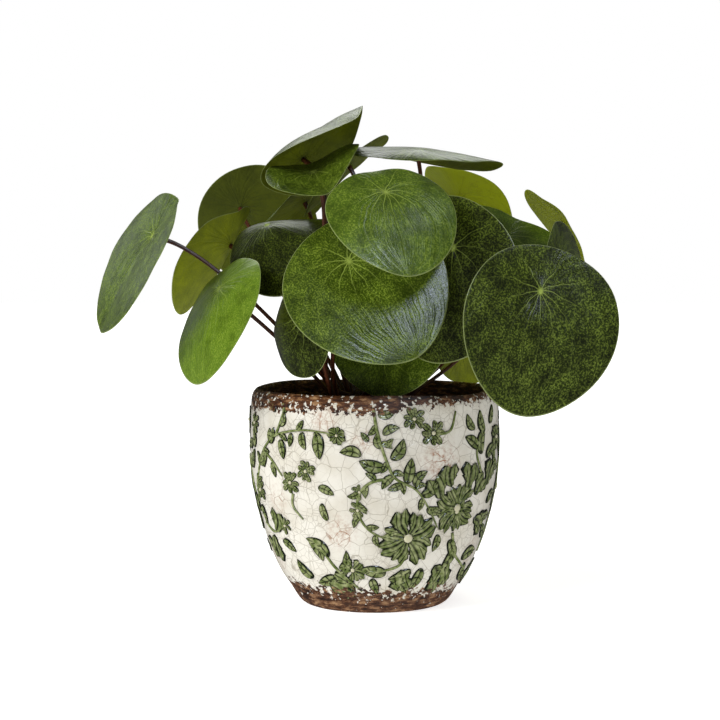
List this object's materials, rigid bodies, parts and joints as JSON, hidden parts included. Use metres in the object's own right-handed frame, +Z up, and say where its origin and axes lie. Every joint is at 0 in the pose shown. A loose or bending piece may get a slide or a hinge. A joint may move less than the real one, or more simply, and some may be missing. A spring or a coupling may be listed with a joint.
{
  "type": "potted pilea",
  "caption": "Round-leaved houseplant, nearly circular blades on long thin petioles from one short stem, in a crackle-glazed pot with green leaf relief.",
  "frame": {"origin": "middle of the pot's flat underside", "axes": "+Z up along the pot's axis; -Y towards the side whose leaves overlap in front; +X to that side's right"},
  "size_m": [0.2878, 0.2758, 0.2772],
  "materials": {
    "pot": "off-white crackle glaze with raised green foliage, worn to brown clay at lip and foot",
    "soil": "dark crumbly potting soil",
    "stem": "matte brown woody stem",
    "blade": "waxy deep green with fine pale veins, olive underside",
    "petiole": "smooth dark reddish brown"
  },
  "bodies": {
    "root": {"pot": "pot", "soil": "soil", "stem": "stem", "blade_01": "blade", "blade_02": "blade", "blade_03": "blade", "blade_04": "blade", "blade_05": "blade", "blade_06": "blade", "blade_07": "blade", "blade_08": "blade", "blade_09": "blade", "blade_10": "blade", "blade_11": "blade", "blade_12": "blade", "blade_13": "blade", "blade_14": "blade", "blade_15": "blade", "blade_16": "blade", "blade_17": "blade", "blade_18": "blade", "blade_19": "blade", "blade_20": "blade", "blade_21": "blade", "blade_22": "blade", "blade_23": "blade", "blade_24": "blade", "blade_25": "blade", "blade_26": "blade", "petiole_01": "petiole", "petiole_02": "petiole", "petiole_03": "petiole", "petiole_04": "petiole", "petiole_05": "petiole", "petiole_06": "petiole", "petiole_07": "petiole", "petiole_08": "petiole", "petiole_09": "petiole", "petiole_10": "petiole", "petiole_11": "petiole", "petiole_12": "petiole", "petiole_13": "petiole", "petiole_14": "petiole", "petiole_15": "petiole", "petiole_16": "petiole", "petiole_17": "petiole", "petiole_18": "petiole", "petiole_19": "petiole", "petiole_20": "petiole", "petiole_21": "petiole", "petiole_22": "petiole", "petiole_23": "petiole", "petiole_24": "petiole", "petiole_25": "petiole", "petiole_26": "petiole"}
  },
  "joints": []
}
